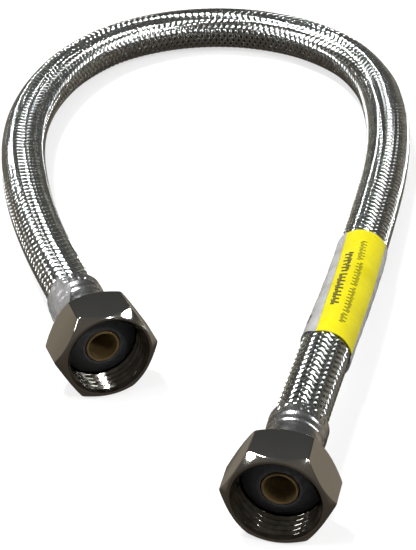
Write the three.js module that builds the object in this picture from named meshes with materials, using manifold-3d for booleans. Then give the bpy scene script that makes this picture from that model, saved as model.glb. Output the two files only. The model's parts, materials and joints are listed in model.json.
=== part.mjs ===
// A braided supply line: a rubber hose in a braided steel sleeve, crimped at both ends onto
// brass inserts that carry free-turning hexagon nuts with an internal thread and a cone washer.
// Millimetres, +Z up. The hose lies in one open loop on the surface z = 0, both mouths towards -Y,
// and the right-hand fitting's axis runs along Y. The origin is the middle of the base.
//
// Each end fitting has its own frame: origin in the middle of the nut's mouth, local +Y along
// the axis towards the hose, local +Z up. Distances "behind the mouth" are local Y.

import * as THREE from "three";
import { mergeVertices } from "three/addons/utils/BufferGeometryUtils.js";
import Module from "manifold-3d";

const wasm = await Module();
wasm.setup();

// ---- driving dimensions ------------------------------------------------------------------

const GAP = 0.3; // between pieces that touch on the real object

const NUT = {
  acrossFlats: 24,
  length: 12.6,
  cornerRadius: 13.7, // the corners are turned down a little
  chamferRadius: 11.5, // at both end faces; the chamfers are at 45 degrees
  mouthRadius: 11.1,
  mouthDepth: 0.7,
  backWall: 2.1,
  backHoleRadius: 6.5,
};

const THREAD = {
  pitch: 1.814, // 14 turns an inch, as on half-inch pipe
  minorRadius: 9.55,
  majorRadius: 10.5,
  start: 0.3,
  end: 9.1,
  reliefRadius: 10.2,
};

const INSERT = {
  lip: 4.85, // the nozzle's tip, behind the mouth
  nozzleRadius: 4.65,
  nozzleBore: 3.75,
  flangeRadius: 9.4,
  flangeThickness: 0.9,
  neckRadius: 6.1,
  tailRadius: 3.6,
  tailBore: 2.9,
  tailEnd: 33,
  barbs: 4,
  barbHeight: 0.4,
  barbPitch: 4,
};

const WASHER = { outerRadius: 9.3, rimThickness: 0.8, coneHeight: 3 };

const HOSE = {
  radius: 6.6,
  sleeveBore: 6,
  tubeRadius: 5.5,
  tubeBore: 4.3,
  start: 14, // the hose's cut end, behind the mouth
  steps: 42,
};

const FERRULE = {
  bore: HOSE.radius + 0.25,
  crimpRadius: 7.2,
  ridgeRadius: 7.35,
  grooveRadius: 7.1,
  rimRadius: 7.5,
  ridge: 23.4, // all four behind the mouth
  groove: 24.4,
  rim: 26,
  end: 30,
};

const LABEL = {
  from: 62, // behind the right-hand mouth, along the hose
  to: 117,
  bore: HOSE.radius + GAP,
  thickness: 0.25,
  panel: [11, 104], // degrees round the hose from its right side, over the top
};

const WRAP = { from: 13.4, to: 32, bore: FERRULE.rimRadius + 0.25, thickness: 0.25, arc: [80, 200] };

const RIGHT = { mouth: [52.25, -131.8], turn: 0 };
const LEFT = { mouth: [0.2, -82.2], turn: 32.4 };
const AXIS_HEIGHT = NUT.acrossFlats / 2; // both nuts rest on a flat

// The hose's route, from its cut end in the left-hand ferrule round the loop to the right-hand one.
const ROUTE = [
  [-7.3, -70.4, 12.0],
  [-12.4, -62.4, 12.0],
  [-17.5, -54.3, 12.0],
  [-28.9, -35.6, 11.9],
  [-38.8, -16.6, 11.2],
  [-47.2, 3.1, 10.2],
  [-54.1, 23.5, 9.1],
  [-58.5, 44.5, 8.2],
  [-59.2, 66.0, 7.5],
  [-55.4, 87.1, 7.1],
  [-45.7, 106.1, 6.8],
  [-29.1, 119.7, 6.7],
  [-8.6, 125.2, 6.7],
  [12.4, 121.8, 6.7],
  [30.1, 110.2, 6.7],
  [42.0, 92.6, 6.7],
  [48.8, 72.2, 6.8],
  [52.5, 51.1, 7.1],
  [54.1, 29.8, 7.5],
  [54.5, 8.3, 8.2],
  [54.5, -13.1, 9.1],
  [54.4, -34.5, 10.2],
  [53.7, -55.9, 11.2],
  [52.9, -77.4, 11.9],
  [52.25, -98.8, 12.0],
  [52.25, -108.3, 12.0],
  [52.25, -117.8, 12.0],
];

const hoseCurve = new THREE.CatmullRomCurve3(ROUTE.map((point) => new THREE.Vector3(...point)));

// ---- materials ---------------------------------------------------------------------------

const material = (color, metalness, roughness) =>
  new THREE.MeshStandardMaterial({ color, metalness, roughness });

const NICKEL = material(0xa9a59c, 1, 0.18);
const STEEL = material(0xc2c3c4, 1, 0.25);
const BRAID = material(0xb5b6b8, 1, 0.3);
const BRASS = material(0xa9803c, 1, 0.32);
const RUBBER = material(0x17191b, 0, 0.75);
const TUBE_RUBBER = material(0x1d1d1f, 0, 0.85);
const YELLOW = material(0xe9dc0d, 0, 0.35);
const CLEAR = new THREE.MeshStandardMaterial({
  color: 0xe4e6e8,
  metalness: 0,
  roughness: 0.2,
  transparent: true,
  opacity: 0.35,
});

// ---- helpers -----------------------------------------------------------------------------

// A closed three.js geometry as a solid that can be cut and joined.
function toSolid(geometry) {
  const bare = geometry.index ? geometry.toNonIndexed() : geometry.clone();
  bare.deleteAttribute("normal");
  bare.deleteAttribute("uv");
  const merged = mergeVertices(bare, 1e-4);
  return new wasm.Manifold(
    new wasm.Mesh({
      numProp: 3,
      vertProperties: new Float32Array(merged.attributes.position.array),
      triVerts: new Uint32Array(merged.index.array),
    }),
  );
}

function fromSolid(solid) {
  const mesh = solid.getMesh();
  const geometry = new THREE.BufferGeometry();
  geometry.setAttribute("position", new THREE.BufferAttribute(mesh.vertProperties, 3));
  geometry.setIndex(new THREE.BufferAttribute(mesh.triVerts, 1));
  geometry.computeVertexNormals();
  return geometry;
}

// Turns a profile of [radius, distance behind the mouth] about the axis. A ring's outline runs
// back along the outside and forward along the bore.
function turned(profile, segments = 32) {
  const points = profile.map(([radius, behind]) => new THREE.Vector2(radius, behind));
  return new THREE.LatheGeometry(points, segments);
}

const closed = (profile) => [...profile, profile[0]];

function named(name, geometry, look) {
  const mesh = new THREE.Mesh(geometry, look);
  mesh.name = name;
  return mesh;
}

// ---- the nut -----------------------------------------------------------------------------

// A hexagonal bar with a flat on top, chamfered at both ends to circles.
function hexagonBar() {
  const corner = NUT.acrossFlats / Math.sqrt(3);
  const outline = new THREE.Shape();
  for (let side = 0; side < 6; side += 1) {
    const angle = (side * Math.PI) / 3;
    const move = side === 0 ? "moveTo" : "lineTo";
    outline[move](corner * Math.cos(angle), corner * Math.sin(angle));
  }
  const bar = new THREE.ExtrudeGeometry(outline, { depth: NUT.length, bevelEnabled: false });
  bar.rotateX(-Math.PI / 2);
  const rise = NUT.cornerRadius - NUT.chamferRadius;
  const envelope = turned(
    [
      [0, 0],
      [NUT.chamferRadius, 0],
      [NUT.cornerRadius, rise],
      [NUT.cornerRadius, NUT.length - rise],
      [NUT.chamferRadius, NUT.length],
      [0, NUT.length],
    ],
    48,
  );
  return toSolid(bar).intersect(toSolid(envelope));
}

// The space that the thread leaves: a cylinder whose wall follows the helix.
function threadedCore() {
  const rowsPerTurn = 4;
  const length = THREAD.end - THREAD.start;
  const rows = Math.round((length / THREAD.pitch) * rowsPerTurn);
  const core = new THREE.CylinderGeometry(1, 1, length, 32, rows);
  core.translate(0, THREAD.start + length / 2, 0);
  const depth = THREAD.majorRadius - THREAD.minorRadius;
  const position = core.attributes.position;
  for (let i = 0; i < position.count; i += 1) {
    const x = position.getX(i);
    const y = position.getY(i);
    const z = position.getZ(i);
    const turns = y / THREAD.pitch - Math.atan2(z, x) / (2 * Math.PI);
    const phase = turns - Math.floor(turns + 1e-6);
    const radius = THREAD.minorRadius + depth * Math.abs(1 - 2 * Math.min(Math.max(phase, 0), 1));
    position.setX(i, x * radius);
    position.setZ(i, z * radius);
  }
  return toSolid(core);
}

function nutGeometry() {
  const backFace = NUT.length - NUT.backWall;
  const mouth = turned([
    [0, -1],
    [NUT.mouthRadius + 1, -1],
    [NUT.mouthRadius - NUT.mouthDepth, NUT.mouthDepth],
    [0, NUT.mouthDepth],
  ]);
  const relief = turned([
    [0, THREAD.end - 0.2],
    [THREAD.reliefRadius, THREAD.end - 0.2],
    [THREAD.reliefRadius, backFace],
    [NUT.backHoleRadius, backFace],
    [NUT.backHoleRadius, NUT.length + 1],
    [0, NUT.length + 1],
  ]);
  const solid = hexagonBar()
    .subtract(threadedCore())
    .subtract(toSolid(mouth))
    .subtract(toSolid(relief));
  return fromSolid(solid);
}

// ---- what sits in and behind the nut -----------------------------------------------------

const FLANGE_BACK = NUT.length - NUT.backWall - GAP;
const FLANGE_FRONT = FLANGE_BACK - INSERT.flangeThickness;
const NECK_END = HOSE.start - 0.4;

// The brass insert: nozzle, flange, neck and barbed tail round one stepped bore.
function insertGeometry() {
  const lipWidth = 0.2;
  const outside = [
    [INSERT.nozzleBore + lipWidth, INSERT.lip],
    [INSERT.nozzleRadius - lipWidth, INSERT.lip],
    [INSERT.nozzleRadius, INSERT.lip + lipWidth],
    [INSERT.nozzleRadius, FLANGE_FRONT],
    [INSERT.flangeRadius, FLANGE_FRONT],
    [INSERT.flangeRadius, FLANGE_BACK],
    [INSERT.neckRadius, FLANGE_BACK],
    [INSERT.neckRadius, NECK_END],
    [INSERT.tailRadius, NECK_END],
  ];
  for (let barb = 0; barb < INSERT.barbs; barb += 1) {
    const root = HOSE.start + 2 + barb * INSERT.barbPitch;
    outside.push([INSERT.tailRadius, root]);
    outside.push([INSERT.tailRadius + INSERT.barbHeight, root + 0.3]);
    outside.push([INSERT.tailRadius, root + INSERT.barbPitch * 0.7]);
  }
  const bore = [
    [INSERT.tailRadius, INSERT.tailEnd],
    [INSERT.tailBore, INSERT.tailEnd],
    [INSERT.tailBore, NECK_END],
    [INSERT.nozzleBore, NECK_END - 1.6],
    [INSERT.nozzleBore, INSERT.lip + lipWidth],
  ];
  return turned(closed([...outside, ...bore]), 20);
}

// The rubber washer: a short cone round the nozzle, with a flat back against the flange.
function washerGeometry() {
  const back = FLANGE_FRONT - GAP;
  const rimFront = back - WASHER.rimThickness;
  const bore = INSERT.nozzleRadius + GAP;
  return turned(
    closed([
      [bore, rimFront - WASHER.coneHeight],
      [bore + 0.4, rimFront - WASHER.coneHeight],
      [WASHER.outerRadius, rimFront],
      [WASHER.outerRadius, back],
      [bore, back],
    ]),
  );
}

// The crimped steel ferrule: an end wall round the neck, the crimped stretch, a ridge, a groove
// and the plain rim that the hose comes out of.
function ferruleGeometry() {
  const front = NUT.length + 0.35;
  const wall = 0.6;
  return turned(
    closed([
      [INSERT.neckRadius + GAP, front],
      [FERRULE.crimpRadius - 0.3, front],
      [FERRULE.crimpRadius, front + 0.3],
      [FERRULE.crimpRadius, FERRULE.ridge - 0.5],
      [FERRULE.ridgeRadius, FERRULE.ridge],
      [FERRULE.ridgeRadius, FERRULE.ridge + 0.5],
      [FERRULE.grooveRadius, FERRULE.groove],
      [FERRULE.grooveRadius, FERRULE.rim - 0.7],
      [FERRULE.rimRadius, FERRULE.rim],
      [FERRULE.rimRadius, FERRULE.end - 0.3],
      [FERRULE.rimRadius - 0.3, FERRULE.end],
      [FERRULE.bore, FERRULE.end],
      [FERRULE.bore, front + wall],
      [INSERT.neckRadius + GAP, front + wall],
    ]),
  );
}

// ---- the hose ----------------------------------------------------------------------------

function circlePath(radius, sides, Kind) {
  const path = new Kind();
  for (let side = 0; side < sides; side += 1) {
    const angle = (side * 2 * Math.PI) / sides;
    const move = side === 0 ? "moveTo" : "lineTo";
    path[move](radius * Math.cos(angle), radius * Math.sin(angle));
  }
  path.closePath();
  return path;
}

function pipeAlongRoute(radius, bore, sides) {
  const section = circlePath(radius, sides, THREE.Shape);
  section.holes.push(circlePath(bore, sides, THREE.Path));
  return new THREE.ExtrudeGeometry(section, {
    steps: HOSE.steps,
    extrudePath: hoseCurve,
    bevelEnabled: false,
  });
}

// ---- thin wraps --------------------------------------------------------------------------

// A sheet bent round the axis: an arc of a thin ring, in degrees from +X over the top.
function sheetRound(bore, thickness, [fromDegrees, toDegrees], from, to, steps) {
  const start = THREE.MathUtils.degToRad(fromDegrees);
  const end = THREE.MathUtils.degToRad(toDegrees);
  const ring = new THREE.Shape();
  ring.absarc(0, 0, bore + thickness, start, end, false);
  ring.absarc(0, 0, bore, end, start, true);
  const options = { depth: to - from, steps, curveSegments: 10, bevelEnabled: false };
  const sheet = new THREE.ExtrudeGeometry(ring, options);
  sheet.rotateX(-Math.PI / 2);
  sheet.translate(0, from, 0);
  sheet.scale(1, 1, -1);
  return flipped(sheet);
}

// The same geometry with each triangle turned round, after a mirroring scale.
function flipped(geometry) {
  const bare = geometry.index ? geometry.toNonIndexed() : geometry;
  const position = bare.attributes.position;
  const a = new THREE.Vector3();
  const b = new THREE.Vector3();
  for (let i = 0; i < position.count; i += 3) {
    a.fromBufferAttribute(position, i);
    b.fromBufferAttribute(position, i + 2);
    position.setXYZ(i, b.x, b.y, b.z);
    position.setXYZ(i + 2, a.x, a.y, a.z);
  }
  bare.computeVertexNormals();
  return bare;
}

// Carries a straight piece from the right-hand fitting's frame onto the hose's curve.
function alongHose(geometry) {
  const length = hoseCurve.getLength();
  const up = new THREE.Vector3(0, 0, 1);
  const position = geometry.attributes.position;
  for (let i = 0; i < position.count; i += 1) {
    const share = 1 - (position.getY(i) - HOSE.start) / length;
    const place = hoseCurve.getPointAt(share);
    const forward = hoseCurve.getTangentAt(share).negate();
    const side = new THREE.Vector3().crossVectors(forward, up).normalize();
    const above = new THREE.Vector3().crossVectors(side, forward);
    place.addScaledVector(side, position.getX(i));
    place.addScaledVector(above, position.getZ(i));
    position.setXYZ(i, place.x, place.y, place.z);
  }
  geometry.computeVertexNormals();
  return geometry;
}

function labelSheet(arc) {
  return alongHose(sheetRound(LABEL.bore, LABEL.thickness, arc, LABEL.from, LABEL.to, 5));
}

// ---- assembly ----------------------------------------------------------------------------

function endFitting(side, place) {
  const fitting = new THREE.Group();
  fitting.add(named(`swivel_nut_${side}`, nutGeometry(), NICKEL));
  fitting.add(named(`brass_insert_${side}`, insertGeometry(), BRASS));
  fitting.add(named(`cone_washer_${side}`, washerGeometry(), RUBBER));
  fitting.add(named(`crimp_ferrule_${side}`, ferruleGeometry(), STEEL));
  fitting.position.set(place.mouth[0], place.mouth[1], AXIS_HEIGHT);
  fitting.rotation.z = THREE.MathUtils.degToRad(place.turn);
  return fitting;
}

const supplyLine = new THREE.Group();
const rightFitting = endFitting("right", RIGHT);
const leftFitting = endFitting("left", LEFT);
supplyLine.add(rightFitting, leftFitting);

supplyLine.add(named("inner_tube", pipeAlongRoute(HOSE.tubeRadius, HOSE.tubeBore, 8), TUBE_RUBBER));
supplyLine.add(named("braided_sleeve", pipeAlongRoute(HOSE.radius, HOSE.sleeveBore, 12), BRAID));

const seam = 3; // degrees left open between the label's printed panel and its clear film
const [panelFrom, panelTo] = LABEL.panel;
supplyLine.add(named("label_panel", labelSheet(LABEL.panel), YELLOW));
supplyLine.add(named("label_film", labelSheet([panelTo + seam, panelFrom + 360 - seam]), CLEAR));

const wrap = sheetRound(WRAP.bore, WRAP.thickness, WRAP.arc, WRAP.from, WRAP.to, 1);
leftFitting.add(named("clear_wrap_left", wrap, CLEAR));

export default supplyLine;
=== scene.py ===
"""A braided supply line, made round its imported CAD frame.

Everything is in metres in the CAD's frame: +Z up, the hose lying on z = 0, both mouths towards -Y.
The hose is a rubber tube under a braid of flat ribbons of wire, woven one by one. Each end has a
nickel-plated nut, a brass insert with a cone washer, and a crimped steel ferrule.

An end fitting has its own frame: origin in the middle of the nut's mouth, Y back along the axis
and Z up. Distances "behind the mouth" are along that Y.
"""

import json
import math

import bpy
import numpy as np
from mathutils import Matrix, Quaternion, Vector


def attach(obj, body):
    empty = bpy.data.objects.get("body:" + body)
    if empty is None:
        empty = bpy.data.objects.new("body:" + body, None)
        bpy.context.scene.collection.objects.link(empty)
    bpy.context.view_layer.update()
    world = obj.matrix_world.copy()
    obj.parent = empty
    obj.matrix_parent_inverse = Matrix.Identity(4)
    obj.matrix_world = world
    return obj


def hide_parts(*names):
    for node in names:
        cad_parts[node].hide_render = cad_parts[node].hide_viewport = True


MM = 0.001
TAU = 2 * math.pi

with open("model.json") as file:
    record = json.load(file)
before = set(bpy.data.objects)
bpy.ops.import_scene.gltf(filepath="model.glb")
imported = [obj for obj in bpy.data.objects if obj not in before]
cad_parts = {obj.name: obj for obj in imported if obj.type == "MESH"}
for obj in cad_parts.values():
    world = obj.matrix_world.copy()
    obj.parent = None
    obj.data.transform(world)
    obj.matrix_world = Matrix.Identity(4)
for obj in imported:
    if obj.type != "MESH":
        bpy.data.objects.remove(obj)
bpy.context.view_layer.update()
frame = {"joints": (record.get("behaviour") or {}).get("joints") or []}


# ---- places and sizes ------------------------------------------------------------------------

# The hose's route in metres, from its cut end in the left-hand ferrule to the right-hand one.
ROUTE = [
    (-0.00730, -0.07040, 0.0120),
    (-0.01240, -0.06240, 0.0120),
    (-0.01750, -0.05430, 0.0120),
    (-0.02890, -0.03560, 0.0119),
    (-0.03880, -0.01660, 0.0112),
    (-0.04720, 0.00310, 0.0102),
    (-0.05410, 0.02350, 0.0091),
    (-0.05850, 0.04450, 0.0082),
    (-0.05920, 0.06600, 0.0075),
    (-0.05540, 0.08710, 0.0071),
    (-0.04570, 0.10610, 0.0068),
    (-0.02910, 0.11970, 0.0067),
    (-0.00860, 0.12520, 0.0067),
    (0.01240, 0.12180, 0.0067),
    (0.03010, 0.11020, 0.0067),
    (0.04200, 0.09260, 0.0067),
    (0.04880, 0.07220, 0.0068),
    (0.05250, 0.05110, 0.0071),
    (0.05410, 0.02980, 0.0075),
    (0.05450, 0.00830, 0.0082),
    (0.05450, -0.01310, 0.0091),
    (0.05440, -0.03450, 0.0102),
    (0.05370, -0.05590, 0.0112),
    (0.05290, -0.07740, 0.0119),
    (0.05225, -0.09880, 0.0120),
    (0.05225, -0.10830, 0.0120),
    (0.05225, -0.11780, 0.0120),
]

HOSE_RADIUS = 6.6 * MM  # over the braid
TUBE_RADIUS = 5.95 * MM

BRAID = {
    "carriers": 12,  # ribbons each way
    "lead": 25.8 * MM,  # along the hose in one turn of a ribbon
    "wires": 4,  # in a ribbon
    "wire": 0.27 * MM,  # spacing of the wires in a ribbon
    "thickness": 0.2 * MM,
    "lift": 0.12 * MM,  # how far a ribbon rises and dips
    "flatness": 2.6,  # how level a ribbon stays between its rises and dips
    "steps": 6,  # from one crossing to the next
    "bow": 0.07 * MM,  # how far a ribbon's edges lie below its middle
    "twist": np.radians([-6, 5]),  # of the whole weave round the hose, at its two ends
    "end_gap": 0.2 * MM,  # from each end of the weave to the hose's cut end
}

NUT = {
    "flat": 12 * MM,  # from the axis to each flat
    "corner_round": 1.0 * MM,
    "edge_round": 0.16 * MM,
    "length": 12.6 * MM,
    "face": 11.5 * MM,  # radius of both end faces; the chamfers are at 45 degrees
    "mouth": 11.0 * MM,  # radius
    "hole": 6.5 * MM,  # radius of the hole in the back wall
    "wall_front": 10.5 * MM,  # the back wall's inner face, behind the mouth
}
THREAD = {
    "pitch": 1.814 * MM,
    "crest": 9.9 * MM,
    "root": 10.75 * MM,
    "end": 9.1 * MM,  # behind the mouth
    "relief": 10.4 * MM,  # radius of the plain wall behind the thread
    "rows": 110,
}
# The ferrule's radii and places behind the mouth, in millimetres.
FERRULE = {
    "front": 12.95,
    "end": 30,
    "bore": 6.85,
    "outside": 7.12,
    "crimp_end": 22.4,  # the facets reach from the front to here
    "ridge": 23.3,
    "rim": 25.6,  # where the rim begins
    "rim_rise": 0.38,
    "strokes": 27.9,  # the middle of the row of strokes
}

LABEL = {
    "from": 48 * MM,  # along the hose
    "to": 103 * MM,
    "inside": 6.9 * MM,  # inner radius of the panel and the film
    "panel": 0.16 * MM,  # thickness
    "film": 0.1 * MM,  # thickness
    "ink": 0.03 * MM,  # thickness
    "slant": 20 * MM,  # the film's near end is cut slanting over this length
}

# Each nut's joint stands in the middle of its mouth, with its axis pointing back.
joints = {joint["child"]: joint for joint in frame["joints"]}


def fitting_matrix(nut):
    """The fitting's own frame as a matrix: its mouth's middle, and Y back along the axis."""
    joint = joints[nut]
    back = Vector(joint["axis"]).normalized()
    up = Vector((0, 0, 1))
    across = back.cross(up)
    turn = Matrix((across, back, up)).transposed().to_4x4()
    return Matrix.Translation(Vector(joint["pos_m"])) @ turn


FITTINGS = {side: fitting_matrix(f"nut_{side}") for side in ("right", "left")}


# ---- camera ----------------------------------------------------------------------------------


def make_camera():
    """The viewpoint: in front of the mouths, above them and to their right."""
    data = bpy.data.cameras.new("camera")
    data.lens = 134.2
    data.sensor_width = 36
    data.clip_end = 20
    camera = bpy.data.objects.new("camera", data)
    place = Vector((0.1182, -0.4946, 0.3035))
    looks_at = Vector((0.0122, -0.0204, 0))
    roll = Quaternion((0, 0, 1), math.radians(-0.7))
    camera.location = place
    camera.rotation_mode = "QUATERNION"
    camera.rotation_quaternion = (looks_at - place).to_track_quat("-Z", "Y") @ roll
    bpy.context.scene.collection.objects.link(camera)
    bpy.context.scene.camera = camera


make_camera()


# ---- the hose's line -------------------------------------------------------------------------


def centripetal_curve(points, steps_each):
    """The same centripetal Catmull-Rom curve through the points as the CAD's, densely sampled."""
    p = np.array(points)
    p = np.vstack([2 * p[0] - p[1], p, 2 * p[-1] - p[-2]])
    out = []
    for a, b, c, d in zip(p, p[1:], p[2:], p[3:]):
        ab, bc, cd = (math.sqrt(np.linalg.norm(v)) for v in (b - a, c - b, d - c))
        leaving = ((b - a) / ab - (c - a) / (ab + bc) + (c - b) / bc) * bc
        arriving = ((c - b) / bc - (d - b) / (bc + cd) + (d - c) / cd) * bc
        t = np.linspace(0, 1, steps_each, endpoint=False)[:, None]
        out.append(
            b * (2 * t**3 - 3 * t**2 + 1)
            + leaving * (t**3 - 2 * t**2 + t)
            + c * (3 * t**2 - 2 * t**3)
            + arriving * (t**3 - t**2)
        )
    return np.vstack(out + [p[-2:-1]])


class HoseLine:
    """The hose's centreline, by distance from the right-hand cut end, with a frame at each point:
    ahead along the hose, right, and above."""

    def __init__(self, points):
        line = points[::-1]
        steps = np.linalg.norm(np.diff(line, axis=0), axis=1)
        self.at = np.concatenate([[0], np.cumsum(steps)])
        self.length = self.at[-1]
        self.line = line
        ahead = np.gradient(line, self.at, axis=0)
        self.ahead = ahead / np.linalg.norm(ahead, axis=1)[:, None]

    def _along(self, values, s):
        """Vectors given at each point of the line, at other distances along it."""
        return np.stack([np.interp(s, self.at, values[:, i]) for i in range(3)], axis=-1)

    def place(self, s, angle, radius):
        """Points at distances along the hose, angles round it from its right, and radii."""
        middle = self._along(self.line, s)
        ahead = self._along(self.ahead, s)
        across = np.cross(ahead, [0, 0, 1])
        across /= np.linalg.norm(across, axis=-1, keepdims=True)
        above = np.cross(across, ahead)
        angle, radius = np.asarray(angle)[..., None], np.asarray(radius)[..., None]
        return middle + radius * (np.cos(angle) * across + np.sin(angle) * above)


hose = HoseLine(centripetal_curve(ROUTE, 40))


# ---- mesh helpers ----------------------------------------------------------------------------


def facing_out(points, faces):
    """The faces of a closed body, turned over if they face inwards."""
    a, b, c, d = (points[faces[:, i]] for i in range(4))
    volume = np.einsum("ij,ij->", a, np.cross(b, c)) + np.einsum("ij,ij->", a, np.cross(c, d))
    return faces if volume > 0 else faces[:, ::-1]


def make_piece(name, points, faces, material, body="hose", sharp=None):
    """A piece of the object from points in the CAD's frame and quads between them. It is shaded
    smooth but for edges over `sharp` degrees."""
    faces = facing_out(points, faces)
    mesh = bpy.data.meshes.new(name)
    mesh.vertices.add(len(points))
    mesh.vertices.foreach_set("co", np.asarray(points, np.float32).ravel())
    mesh.loops.add(faces.size)
    mesh.loops.foreach_set("vertex_index", faces.astype(np.int32).ravel())
    mesh.polygons.add(len(faces))
    mesh.polygons.foreach_set("loop_start", np.arange(len(faces), dtype=np.int32) * 4)
    mesh.polygons.foreach_set("loop_total", np.full(len(faces), 4, np.int32))
    mesh.polygons.foreach_set("use_smooth", np.ones(len(faces), bool))
    mesh.update(calc_edges=True)
    if sharp is not None:
        mesh.set_sharp_from_angle(angle=math.radians(sharp))
    mesh.materials.append(material)
    piece = bpy.data.objects.new(name, mesh)
    bpy.context.scene.collection.objects.link(piece)
    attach(piece, body)
    return piece


def ring_faces(rows, columns, closed_rows=False):
    """Quads between rows of points whose columns close on themselves."""
    row = np.arange(rows if closed_rows else rows - 1)[:, None]
    column = np.arange(columns)[None, :]
    after_row, after_column = (row + 1) % rows, (column + 1) % columns
    quads = [
        row * columns + column,
        row * columns + after_column,
        after_row * columns + after_column,
        after_row * columns + column,
    ]
    return np.stack(quads, axis=-1).reshape(-1, 4)


def capped_faces(rows, columns):
    """Quads between rows of points, with both ends closed by a ladder across the section."""
    step = np.arange(columns // 2 - 1)
    ladder = np.stack([step, step + 1, columns - 2 - step, columns - 1 - step], axis=-1)
    last = (rows - 1) * columns
    return np.vstack([ring_faces(rows, columns), ladder[:, ::-1], ladder + last])


def bodies(parts):
    """Several bodies' points and faces as one."""
    points, faces, count = [], [], 0
    for part_points, part_faces in parts:
        points.append(part_points.reshape(-1, 3))
        faces.append(part_faces + count)
        count += len(points[-1])
    return np.vstack(points), np.vstack(faces)


def eased(profile, amount):
    """A closed profile with its corners eased, three points to each. The easing takes at most
    0.45 of a side, so that two corners never meet."""

    def towards(other):
        side = other - profile
        length = np.linalg.norm(side, axis=-1, keepdims=True)
        return profile + side * np.minimum(amount / np.maximum(length, 1e-9), 0.45)

    before, after = towards(np.roll(profile, 1, axis=-2)), towards(np.roll(profile, -1, axis=-2))
    middle = 0.25 * before + 0.5 * profile + 0.25 * after
    return np.stack([before, middle, after], axis=-2).reshape(*profile.shape[:-2], -1, 2)


def turned(name, profile, angles, side, material, body="hose", sharp=30):
    """A ring about a fitting's axis. The profile, [radius, behind], may differ at each angle."""
    profile = np.broadcast_to(profile, (len(angles), *profile.shape[-2:]))
    radius, behind = profile[..., 0], profile[..., 1]
    around = angles[:, None]
    points = np.stack([radius * np.cos(around), behind, radius * np.sin(around)], axis=-1)
    matrix = np.array(FITTINGS[side])
    points = points.reshape(-1, 3) @ matrix[:3, :3].T + matrix[:3, 3]
    faces = ring_faces(len(angles), profile.shape[-2], closed_rows=True)
    return make_piece(name, points, faces, material, body, sharp)


# ---- materials -------------------------------------------------------------------------------


class Shader:
    """A material with one Principled surface, and the few kinds of node that feed it."""

    def __init__(self, name, **sockets):
        self.material = bpy.data.materials.new(name)
        self.material.use_nodes = True
        self.tree = self.material.node_tree
        self.surface = self.tree.nodes["Principled BSDF"]
        for socket, value in sockets.items():
            self.surface.inputs[socket.replace("_", " ")].default_value = value

    def node(self, kind, links, values):
        """A node, its inputs linked to other nodes' outputs or set to values."""
        made = self.tree.nodes.new(kind)
        for socket, output in links.items():
            self.tree.links.new(output, made.inputs[socket])
        for socket, value in values.items():
            made.inputs[socket].default_value = value
        return made

    def noise(self, scale, detail=4, roughness=0.55):
        """Noise in object coordinates."""
        place = self.node("ShaderNodeTexCoord", {}, {}).outputs["Object"]
        values = {"Scale": scale, "Detail": detail, "Roughness": roughness}
        return self.node("ShaderNodeTexNoise", {"Vector": place}, values).outputs["Fac"]

    def ramp(self, factor, low, high, start, end):
        """The factor's span start to end, as a colour between low and high."""
        made = self.node("ShaderNodeValToRGB", {"Fac": factor}, {})
        stops = made.color_ramp.elements
        stops[0].position, stops[0].color = start, (*low, 1)
        stops[1].position, stops[1].color = end, (*high, 1)
        return made.outputs["Color"]

    def span(self, factor, low, high, start, end):
        """The factor's span start to end, as a number between low and high."""
        ends = {"From Min": start, "From Max": end, "To Min": low, "To Max": high}
        return self.node("ShaderNodeMapRange", {"Value": factor}, ends).outputs["Result"]

    def bump(self, height, strength, distance):
        """Bumps on the surface, as deep as the distance where the height is 1, and softened by
        a strength under 1."""
        values = {"Strength": strength, "Distance": distance}
        self.feed("Normal", self.node("ShaderNodeBump", {"Height": height}, values).outputs[0])

    def feed(self, socket, output):
        """An output of a node into one of the surface's sockets."""
        self.tree.links.new(output, self.surface.inputs[socket])


def wire_material(name, tone, roughness):
    """Bright drawn wire."""
    shader = Shader(name, Metallic=1.0, Roughness=roughness)
    shader.surface.inputs["Base Color"].default_value = (tone * 0.97, tone, tone * 0.99, 1)
    return shader.material


def nickel_material():
    """Polished nickel plate with faint smears and fine scratches."""
    shader = Shader("nickel_plate", Metallic=1.0)
    smear = shader.noise(110, detail=5)
    dull, bright = (0.56, 0.54, 0.51), (0.60, 0.58, 0.55)
    shader.feed("Base Color", shader.ramp(smear, dull, bright, 0.3, 0.7))
    fine = shader.noise(900, detail=6)
    shader.feed("Roughness", shader.span(fine, 0.06, 0.11, 0.3, 0.7))
    shader.bump(shader.noise(60, detail=2), 0.012, 0.0002)
    return shader.material


def thread_material():
    """The nuts' threaded wall: the same plate, darkened as painted shade deep inside the nut."""
    shader = Shader("thread_painted_shade", Metallic=1.0)
    blotch = shader.noise(300, detail=4)
    # Both tones are painted shade for the recessed wall, far darker than the plate; the noise
    # between them varies at random.
    dark, paler = (0.12, 0.114, 0.098), (0.24, 0.232, 0.21)
    shader.feed("Base Color", shader.ramp(blotch, dark, paler, 0.4, 0.65))
    patch = shader.noise(450, detail=5)
    shader.feed("Roughness", shader.span(patch, 0.07, 0.16, 0.4, 0.6))
    shader.bump(patch, 0.12, 0.0003)
    return shader.material


def ferrule_material():
    """Bright steel, dulled and scuffed in places."""
    shader = Shader("ferrule_steel", Metallic=1.0)
    scuff = shader.noise(420, detail=6, roughness=0.7)
    dull, bright = (0.34, 0.34, 0.35), (0.80, 0.80, 0.80)
    shader.feed("Base Color", shader.ramp(scuff, dull, bright, 0.38, 0.62))
    shader.feed("Roughness", shader.span(scuff, 0.34, 0.13, 0.35, 0.65))
    shader.bump(shader.noise(700, detail=5), 0.3, 0.0003)
    return shader.material


def brass_material():
    """Turned brass, browner in patches."""
    shader = Shader("turned_brass", Metallic=0.75)
    patch = shader.noise(240, detail=4)
    brown, gold = (0.18, 0.12, 0.05), (0.29, 0.20, 0.09)
    shader.feed("Base Color", shader.ramp(patch, brown, gold, 0.35, 0.65))
    shader.feed("Roughness", shader.span(patch, 0.34, 0.26, 0.3, 0.7))
    return shader.material


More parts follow.
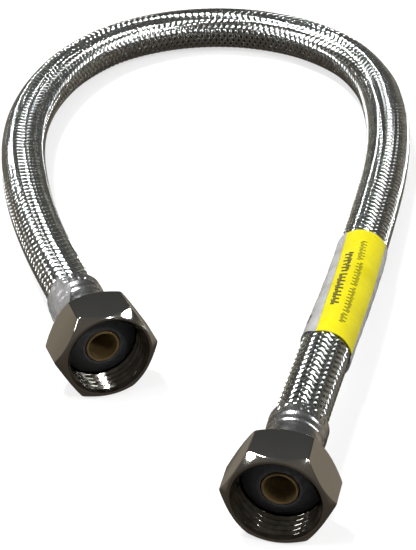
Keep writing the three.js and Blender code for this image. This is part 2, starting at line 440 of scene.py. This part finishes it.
def rubber_material(name, tone):
    """Matt black rubber with a fine grain, faintly blue where it is lightest."""
    shader = Shader(name, Specular_IOR_Level=0.3)
    grain = shader.noise(900, detail=5)
    dark = (tone * 0.7,) * 3
    light = (tone * 1.25, tone * 1.3, tone * 1.35)
    shader.feed("Base Color", shader.ramp(grain, dark, light, 0.3, 0.7))
    shader.feed("Roughness", shader.span(grain, 0.5, 0.75, 0.3, 0.7))
    shader.bump(grain, 0.3, 0.0002)
    return shader.material


def film_material(name, dull, bright, alpha, roughness):
    """Thin clear film, cloudy in patches."""
    shader = Shader(name, Alpha=alpha)
    cloud = shader.noise(160, detail=4)
    shader.feed("Base Color", shader.ramp(cloud, (dull,) * 3, (bright,) * 3, 0.3, 0.7))
    shader.feed("Roughness", shader.span(cloud, roughness, roughness * 0.6, 0.3, 0.7))
    return shader.material


def yellow_material():
    """Printed yellow film, glossy, with scuffs and a few duller patches."""
    shader = Shader("yellow_print")
    patch = shader.noise(120, detail=4)
    dull, bright = (0.37, 0.325, 0.001), (0.45, 0.40, 0.002)
    shader.feed("Base Color", shader.ramp(patch, dull, bright, 0.3, 0.7))
    shader.feed("Roughness", shader.span(shader.noise(400, detail=5), 0.22, 0.45, 0.3, 0.7))
    shader.bump(shader.noise(150, detail=3), 0.12, 0.0004)
    return shader.material


def ink_material():
    """Dark ink, worn thin in places."""
    shader = Shader("dark_ink", Roughness=0.5)
    wear = shader.noise(1200, detail=3)
    black, worn = (0.006, 0.005, 0.002), (0.03, 0.025, 0.005)
    shader.feed("Base Color", shader.ramp(wear, black, worn, 0.4, 0.8))
    return shader.material


NICKEL = nickel_material()
THREAD_SHADE = thread_material()
STEEL = ferrule_material()
BRASS = brass_material()
WASHER_RUBBER = rubber_material("washer_rubber", 0.022)
TUBE_RUBBER = rubber_material("tube_rubber", 0.03)
YELLOW = yellow_material()
INK = ink_material()
FILM = film_material("clear_film", 0.25, 0.38, 0.76, 0.25)
WRAP_FILM = film_material("clear_wrap", 0.11, 0.30, 0.5, 0.2)
WIRES = [
    wire_material("wire_bright", 0.74, 0.07),
    wire_material("wire_plain", 0.68, 0.09),
]


# ---- the hose --------------------------------------------------------------------------------


def make_tube():
    """The rubber tube under the braid, closed at its ends, which the fittings hide."""
    along, around = np.linspace(0, hose.length, 340), np.linspace(0, TAU, 32, endpoint=False)
    s, angle = np.meshgrid(along, around, indexing="ij")
    points = hose.place(s, angle, TUBE_RADIUS).reshape(-1, 3)
    return make_piece("rubber_tube", points, capped_faces(*s.shape), TUBE_RUBBER)


def ribbon_profile():
    """A ribbon's section: each wire a low arc on top, and a flat underside. Widths and heights."""
    wires, pitch, thick = BRAID["wires"], BRAID["wire"], BRAID["thickness"]
    # Each point is a share of a wire's width, or of the ribbon's, and a share of the thickness.
    wire_top = ((0, 0.35), (0.33, 0.97), (0.67, 0.97))
    edge_and_underside = ((1, 0.35), (0.98, 0), (0.02, 0))
    section = []
    for wire in range(wires):
        section += [((wire - wires / 2 + share) * pitch, rise) for share, rise in wire_top]
    section += [((share - 0.5) * wires * pitch, rise) for share, rise in edge_and_underside]
    width, rise = np.array(section).T
    height = (rise - 0.5) * thick
    return width, height - BRAID["bow"] * (width / width.max()) ** 2


def weave(ribbon, way):
    """One ribbon of the braid from end to end: its points, row by row along the hose.

    way is 1 for the ribbons that climb round the hose as they go, and -1 for the others. A ribbon
    of one way goes over two ribbons of the other and under two, in turn, so that the long floats
    line up in columns along the hose. Whether a ribbon is over or under depends only on the angle
    round the hose, and the two ways are always opposite."""
    count, lead = BRAID["carriers"], BRAID["lead"]
    lean = math.atan(TAU * HOSE_RADIUS / lead)
    rows = int(round(hose.length / lead * 2 * count)) * BRAID["steps"] + 1
    s = np.linspace(BRAID["end_gap"], hose.length - BRAID["end_gap"], rows)[:, None]
    width, height = ribbon_profile()
    middle = HOSE_RADIUS - BRAID["lift"] - BRAID["thickness"] / 2
    # The section lies square to the ribbon, so its width shifts a point along the hose as well.
    along = np.clip(s - way * width * math.sin(lean), 0, hose.length)
    angle = TAU * ribbon / count + way * TAU * s / lead + width * math.cos(lean) / middle
    crossing = angle * 2 * count / TAU  # whole numbers at the crossings
    wave = np.tanh(BRAID["flatness"] * way * np.cos(math.pi / 2 * (crossing - 1.5)))
    angle = angle + np.interp(along, [0, hose.length], BRAID["twist"])
    points = hose.place(along, angle, middle + height + BRAID["lift"] * wave)
    return points, capped_faces(rows, width.size)


def make_braid():
    """The braid, two ribbons to a piece."""
    pieces = []
    for way, hand in ((1, "right"), (-1, "left")):
        for pair in range(BRAID["carriers"] // 2):
            points, faces = bodies([weave(2 * pair, way), weave(2 * pair + 1, way)])
            name = f"braid_{hand}_{pair + 1}"
            material = WIRES[pair % len(WIRES)]
            pieces.append(make_piece(name, points, faces, material))
    return pieces


tube = make_tube()
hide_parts("inner_tube")
braid = make_braid()
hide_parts("braided_sleeve")


# ---- the end fittings ------------------------------------------------------------------------


def nut_angles():
    """Angles round the nut, closer together at its corners."""
    even = np.arange(0, TAU, TAU / 240)
    near = np.radians([-3, -2.4, -1.8, -1.2, -0.6, 0, 0.6, 1.2, 1.8, 2.4, 3])
    corners = ((np.arange(6) * TAU / 6)[:, None] + near) % TAU
    return np.unique(np.concatenate([even, corners.ravel()]).round(6))


def nut_reach(angles):
    """How far the hexagon reaches at each angle, with its corners rounded. A flat is on top."""
    flat, soft = NUT["flat"], NUT["corner_round"]
    off_flat = np.abs(angles % (TAU / 6) - TAU / 12)
    centre = (flat - soft) / math.cos(TAU / 12)
    off_corner = TAU / 12 - off_flat
    arc = np.maximum(soft**2 - (centre * np.sin(off_corner)) ** 2, 0)
    on_flat = flat * np.tan(off_flat) < (flat - soft) * math.tan(TAU / 12)
    return np.where(on_flat, flat / np.cos(off_flat), centre * np.cos(off_corner) + np.sqrt(arc))


def thread_wall(angles):
    """The threaded wall from its inner end to the mouth: [radius, behind] at each angle."""
    behind = np.linspace(THREAD["end"], 0.12 * MM, THREAD["rows"])[None, :]
    turns = behind / THREAD["pitch"] - angles[:, None] / TAU
    # Straight flanks between narrow flats, 0 at the crests and 1 at the roots.
    groove = np.clip(np.abs(1 - 2 * (turns % 1)) * 1.3 - 0.15, 0, 1)
    radius = THREAD["crest"] + (THREAD["root"] - THREAD["crest"]) * groove
    # The thread runs out into the relief within half a turn, and opens out at the mouth.
    fade = np.clip((THREAD["end"] - behind) / (0.5 * THREAD["pitch"]), 0, 1)
    radius = THREAD["relief"] + (radius - THREAD["relief"]) * fade
    radius = np.maximum(radius, NUT["mouth"] - 2.5 * behind)
    return np.stack([radius, behind + 0 * radius], axis=-1)


def make_nut(side):
    """The nut: its outside with eased edges, and the threaded wall, whose faces are darkened with
    painted shade.
    """
    angles = nut_angles()
    reach = nut_reach(angles)
    chamfer = reach - NUT["face"]
    wall = thread_wall(angles)
    still = np.ones(len(angles))
    corners = [
        (wall[:, -1, 0], wall[:, -1, 1]),
        (NUT["mouth"] * still, 0 * still),
        (NUT["face"] * still, 0 * still),
        (reach, chamfer),
        (reach, NUT["length"] - chamfer),
        (NUT["face"] * still, NUT["length"] * still),
        (NUT["hole"] * still, NUT["length"] * still),
        (NUT["hole"] * still, NUT["wall_front"] * still),
        (THREAD["relief"] * still, NUT["wall_front"] * still),
        (wall[:, 0, 0], wall[:, 0, 1]),
    ]
    outside = np.stack([np.stack(corner, axis=-1) for corner in corners], axis=1)
    outside = eased(outside, NUT["edge_round"])[:, 3:-3]  # the first and last are the wall's own
    profile = np.concatenate([outside, wall], axis=1)
    nut = turned(
        f"nut_{side}", profile, angles, side, NICKEL, f"nut_{side}", sharp=38
    )
    # The threaded wall's faces take the darker material, painted shade for the recess.
    nut.data.materials.append(THREAD_SHADE)
    columns = profile.shape[1]
    on_wall = np.arange(len(nut.data.polygons)) % columns >= outside.shape[1]
    nut.data.polygons.foreach_set("material_index", on_wall.astype(np.int32))
    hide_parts(f"swivel_nut_{side}")


def make_insert(side):
    """The brass insert: a nozzle with a rounded lip, a flange, a neck and a barbed tail."""
    # radius and distance behind the mouth, in millimetres
    profile = [
        (4.4, 5.0),
        (4.4, 9.3),
        (9.3, 9.3),
        (9.3, 10.2),
        (6.1, 10.2),
        (6.1, 13.6),
        (3.6, 13.6),
    ]
    for barb in range(4):
        front = 15.5 + 4 * barb
        profile += [(3.6, front), (4.0, front + 0.6), (3.6, front + 3)]
    profile += [(3.6, 33), (2.9, 33), (2.9, 12.2), (3.7, 9.6), (3.75, 5.0)]
    angles = np.arange(0, TAU, TAU / 128)
    outline = eased(np.array(profile) * MM, 0.26 * MM)
    insert = turned(f"insert_{side}", outline, angles, side, BRASS, sharp=50)
    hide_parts(f"brass_insert_{side}")


def make_washer(side):
    """The rubber cone washer round the nozzle, against the flange."""
    profile = np.array([(4.6, 5.3), (5.3, 5.3), (9.75, 8.2), (9.75, 9.0), (4.6, 9.0)]) * MM
    angles = np.arange(0, TAU, TAU / 128)
    outline = eased(profile, 0.25 * MM)
    washer = turned(f"washer_{side}", outline, angles, side, WASHER_RUBBER)
    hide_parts(f"cone_washer_{side}")


def rise_at(behind, place, width):
    """A soft step from 0 to 1 along the axis."""
    return 1 / (1 + np.exp((place - behind) / width))


def make_ferrule(side, turn):
    """The crimped ferrule: shallow facets, a ridge, a groove and a plain rim with a row of
    generic strokes sunk in its top. Everything is in millimetres until the last step."""
    angles = np.arange(0, TAU, TAU / 360)
    around = angles[:, None] + math.radians(turn)
    front, end, bore = FERRULE["front"], FERRULE["end"], FERRULE["bore"]
    behind = np.linspace(front, end, 130)[None, :]
    facet = (around % (TAU / 8)) - TAU / 16
    crimped = 1 - rise_at(behind, FERRULE["crimp_end"], 0.25)
    ridge = 0.26 * np.exp(-(((behind - FERRULE["ridge"]) / 0.4) ** 2))
    rim = FERRULE["rim_rise"] * rise_at(behind, FERRULE["rim"], 0.22)
    dents = 0.035 * np.sin(3 * around + 1.3 * behind) * np.sin(5 * around - 0.8 * behind)
    radius = FERRULE["outside"] + crimped * 0.9 * (1 / np.cos(facet) - 1) + ridge + rim + dents

    stroke = (around * 26 / TAU + 0.3 * np.sin(1.3 * behind)) % 1  # 26 places round the rim
    struck = (np.abs(stroke - 0.5) < 0.2) & (np.abs(behind - FERRULE["strokes"]) < 1.1)
    on_top = np.abs(angles[:, None] - TAU / 4) < math.radians(62)
    edge_round = 0.25
    turned_in = np.clip((behind - end + edge_round) / edge_round, 0, 1) ** 2
    radius = radius - 0.17 * (struck & on_top) - edge_round * turned_in
    outside = np.stack([radius, behind + 0 * radius], axis=-1)
    inside = np.array([(bore, end), (bore, 21.5), (bore, front)])
    inside = np.broadcast_to(inside, (len(angles), 3, 2))
    profile = np.concatenate([outside, inside], axis=1) * MM
    ferrule = turned(f"ferrule_{side}", profile, angles, side, STEEL, sharp=60)
    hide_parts(f"crimp_ferrule_{side}")


for side, crimp_turn in (("right", 8), ("left", 20)):  # degrees
    make_nut(side)
    make_insert(side)
    make_washer(side)
    make_ferrule(side, crimp_turn)


# ---- the label and the clear wrap ------------------------------------------------------------


def sheet(place, along, start, end, lift, thickness, columns=48):
    """A thin sheet bent round something, as points and faces. place(along, angle, radius) gives
    its points, start and end its angles in degrees at each distance along, and lift its inner
    radius at each distance and angle."""
    share = np.linspace(0, 1, columns)[None, :]
    along, start, end = (np.asarray(value)[:, None] for value in (along, start, end))
    angle = np.radians(start + (end - start) * share)
    along = along + 0 * angle
    inner = lift(along, angle)
    outside = place(along, angle, inner + thickness)
    inside = place(along, angle, inner)
    points = np.concatenate([outside, inside[:, ::-1]], axis=1)
    return points.reshape(-1, 3), capped_faces(len(along), 2 * columns)


def label_edges(s):
    """Where the printed panel starts and ends round the hose, in degrees. It is slightly skew."""
    share = (s - LABEL["from"]) / (LABEL["to"] - LABEL["from"])
    return 9 + 15 * share, 110 + 18 * share


def creases(along, angle, depth):
    """Soft unevenness of a thin sheet."""
    u, v = along / MM, angle
    waves = np.sin(0.55 * u + 3 * v) + np.sin(1.3 * u - 5 * v + 1) + np.sin(0.21 * u + 9 * v + 2)
    return depth * waves / 3


def about(angle, middle, spread):
    """A bell round the hose: 1 at the middle, both in degrees."""
    return np.exp(-(((np.degrees(angle) - middle) / spread) ** 2))


def panel_lift(along, angle):
    """The panel's inner radius."""
    return LABEL["inside"] + creases(along, angle, 0.05 * MM)


def film_lift(along, angle):
    """The film's inner radius. It stands off the braid all along its left, and at its right-hand
    near corner."""
    near = np.clip((58 * MM - along) / (10 * MM), 0, 1)
    loose = 0.12 * MM * about(angle, 165, 28) + 0.1 * MM * about(angle, 345, 22) * near
    return LABEL["inside"] + loose + creases(along, angle, 0.10 * MM)


def film_place(along, angle, radius):
    """Places on the film, whose near end is cut slanting on its left."""
    near = np.clip((LABEL["from"] + LABEL["slant"] - along) / LABEL["slant"], 0, 1)
    return hose.place(along + 5.5 * MM * about(angle, 175, 55) * near, angle, radius)


def make_label():
    """The printed panel, and the clear film that carries it round the hose."""
    s = np.linspace(LABEL["from"], LABEL["to"], 120)
    start, end = label_edges(s)
    points, faces = sheet(hose.place, s, start, end, panel_lift, LABEL["panel"])
    panel = make_piece("yellow_panel", points, faces, YELLOW, sharp=50)
    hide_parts("label_panel")

    s = np.linspace(LABEL["from"] - 1.5 * MM, LABEL["to"] + 0.5 * MM, 120)
    start, end = label_edges(s)
    points, faces = sheet(film_place, s, end + 1, start + 359, film_lift, LABEL["film"], 140)
    film = make_piece("film_margin", points, faces, FILM, sharp=50)
    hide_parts("label_film")
    return panel, film


# Rows of print: the distances along the hose from the first stroke to the last, in millimetres,
# the angles round it, the height of a tall stroke, the share of its place that a stroke takes,
# and how many letters, of two strokes each, stand in each word.
PRINT_ROWS = (
    {"along": (61, 90), "turn": (93, 104), "tall": 2.1, "share": 0.78, "words": (9, 6)},
    {"along": (54, 97), "turn": (63, 78), "tall": 1.8, "share": 0.5, "words": (3, 8, 8, 7)},
)
PRINT_RADIUS = 7.1  # millimetres, to turn a stroke's height into an angle


def ink_on_panel(along, angle):
    """The inner radius of a stroke that lies just sunk in the panel."""
    return panel_lift(along, angle) + LABEL["panel"] - 0.01 * MM


def ink_on_film(along, angle):
    """The inner radius of a stroke that lies just off the film."""
    return film_lift(along, angle) + LABEL["film"] + 0.01 * MM


def print_row(row):
    """A row of generic strokes along the panel, as points and faces for each."""
    first, last = row["along"]
    near, far = row["turn"]
    cells = sum(row["words"]) * 2 + len(row["words"]) - 1
    step = (last - first) / cells
    strokes, cell = [], 0
    for letters in row["words"]:
        for mark in range(letters * 2):
            s = (first + cell * step) * MM
            ends = np.array([s, s + step * row["share"] * MM])
            height = row["tall"] * (1.0, 0.45, 0.8, 0.6)[(mark * 7 + letters) % 4]
            half = math.degrees(height / 2 / PRINT_RADIUS)
            middle = near + (far - near) * cell / cells
            if height <= 0.7 * row["tall"]:  # the short strokes stand high and low in turn
                middle += math.degrees(0.3 * row["tall"] / PRINT_RADIUS) * (-1) ** mark
            turn = np.array([middle, middle])
            strokes.append(
                sheet(hose.place, ends, turn - half, turn + half, ink_on_panel, LABEL["ink"], 5)
            )
            cell += 1
        cell += 1  # the space between two words
    return strokes


def make_print():
    """Two rows of generic strokes where a printed label has words, and a tick on the film."""
    strokes = [stroke for row in PRINT_ROWS for stroke in print_row(row)]
    ends, turn = np.array([56, 59.5]) * MM, np.array([150, 146])
    strokes.append(sheet(hose.place, ends, turn - 2.5, turn + 2.5, ink_on_film, LABEL["ink"], 5))
    points, faces = bodies(strokes)
    return make_piece("label_print", points, faces, INK, sharp=40)


def make_wrap():
    """The scrap of clear wrap round the left-hand ferrule's outer side, creased."""
    matrix = np.array(FITTINGS["left"])
    front, length = 13.4 * MM, 19.6 * MM

    def place(along, angle, radius):
        slant = (np.degrees(angle) - 80) / 100  # the far edge comes nearer as it goes round
        behind = front + along * (1 - 0.28 * slant)
        points = np.stack([radius * np.cos(angle), behind, radius * np.sin(angle)], axis=-1)
        return points @ matrix[:3, :3].T + matrix[:3, 3]

    def lift(along, angle):
        return 7.75 * MM + creases(along * 3, angle * 2.2, 0.16 * MM)

    along = np.linspace(0, length, 90)
    start = 116 + 10 * np.sin(along / MM * 0.35)  # a wavy edge
    end = np.full_like(start, 205)
    points, faces = sheet(place, along, start, end, lift, 0.1 * MM, 90)
    wrap = make_piece("ferrule_wrap", points, faces, WRAP_FILM, sharp=50)
    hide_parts("clear_wrap_left")
    return wrap


panel, film = make_label()
label_print = make_print()
wrap = make_wrap()


# ---- floor, backdrop and light ---------------------------------------------------------------

STAGE_RADIUS = 6
LIGHT_DISTANCE = 2.0


def stage_material(name, tone, glow):
    """A plain matt grey that glows white."""
    shader = Shader(name, Roughness=0.9)
    shader.surface.inputs["Base Color"].default_value = (tone, tone, tone, 1)
    shader.surface.inputs["Emission Color"].default_value = (1, 1, 1, 1)
    shader.surface.inputs["Emission Strength"].default_value = glow
    return shader.material


def make_stage():
    """A pale floor in a pale dome. Neither shows in the metal, which mirrors the dimmer world."""
    bpy.ops.mesh.primitive_circle_add(vertices=96, radius=STAGE_RADIUS, fill_type="NGON")
    floor = bpy.context.object
    floor.name = "floor"
    floor.location.z = -0.0001
    floor.data.materials.append(stage_material("floor_white", 0.3, glow=0.62))
    bpy.ops.mesh.primitive_uv_sphere_add(segments=64, ring_count=32, radius=STAGE_RADIUS)
    dome = bpy.context.object
    dome.name = "dome"
    dome.data.materials.append(stage_material("dome_white", 0.0, glow=0.55))
    for thing in (floor, dome):
        thing.visible_glossy = False
    dome.visible_shadow = False


def make_world():
    """What the metal mirrors: dim overhead, tan low down on the far side, brown on the near.
    Each side is a ramp by height, from -1 straight down to 1 straight up."""
    world = bpy.data.worlds.new("room")
    world.use_nodes = True
    tree = world.node_tree
    links = tree.links
    coordinates = tree.nodes.new("ShaderNodeTexCoord")
    split = tree.nodes.new("ShaderNodeSeparateXYZ")
    links.new(coordinates.outputs["Generated"], split.inputs["Vector"])

    def share(axis, low, high):
        span = tree.nodes.new("ShaderNodeMapRange")
        span.inputs["From Min"].default_value = low
        span.inputs["From Max"].default_value = high
        links.new(split.outputs[axis], span.inputs["Value"])
        return span.outputs["Result"]

    def ramp(factor, stops):
        made = tree.nodes.new("ShaderNodeValToRGB")
        links.new(factor, made.inputs["Fac"])
        elements = made.color_ramp.elements
        for index, (level, colour) in enumerate(stops):
            # The first two stops are the ramp's own ends, and the others go between them.
            stop = elements[index] if index < 2 else elements.new(1)
            stop.position = (level + 1) / 2
            stop.color = (*colour, 1)
        return made.outputs["Color"]

    height = share("Z", -1, 1)
    far = ramp(
        height,
        (
            (-1.0, (0.06, 0.05, 0.042)),
            (1.0, (0.10, 0.10, 0.10)),
            (-0.56, (0.07, 0.06, 0.05)),
            (-0.44, (0.26, 0.23, 0.185)),
            (0.0, (0.29, 0.258, 0.20)),
            (0.25, (0.060, 0.063, 0.060)),
            (0.6, (0.040, 0.047, 0.049)),
        ),
    )
    near = ramp(
        height,
        (
            (-1.0, (0.05, 0.042, 0.035)),
            (1.0, (0.10, 0.10, 0.10)),
            (-0.3, (0.075, 0.062, 0.050)),
            (0.15, (0.09, 0.082, 0.075)),
            (0.6, (0.13, 0.118, 0.10)),
            (0.78, (0.06, 0.06, 0.06)),
        ),
    )
    mix = tree.nodes.new("ShaderNodeMix")
    mix.data_type = "RGBA"
    links.new(share("Y", -0.3, 0.4), mix.inputs["Factor"])
    colour_a, colour_b, colour_out = mix.inputs[6], mix.inputs[7], mix.outputs[2]
    links.new(near, colour_a)
    links.new(far, colour_b)
    links.new(colour_out, tree.nodes["Background"].inputs["Color"])
    bpy.context.scene.world = world


def area_light(name, towards, size, power):
    """A soft round light in a direction from the origin, facing it."""
    data = bpy.data.lights.new(name, "AREA")
    data.shape = "DISK"
    data.size = size
    data.energy = power
    light = bpy.data.objects.new(name, data)
    direction = Vector(towards).normalized()
    light.location = direction * LIGHT_DISTANCE
    light.rotation_mode = "QUATERNION"
    light.rotation_quaternion = direction.to_track_quat("Z", "Y")
    bpy.context.scene.collection.objects.link(light)


make_stage()
make_world()
area_light("key", (-0.34, 0.18, 0.92), 0.45, 56)
area_light("front", (0.61, -0.43, 0.67), 0.24, 17)
area_light("left", (-0.74, -0.39, 0.55), 0.85, 28)
area_light("right", (0.83, 0.05, 0.55), 0.8, 16)

bpy.context.scene.view_settings.view_transform = "Standard"
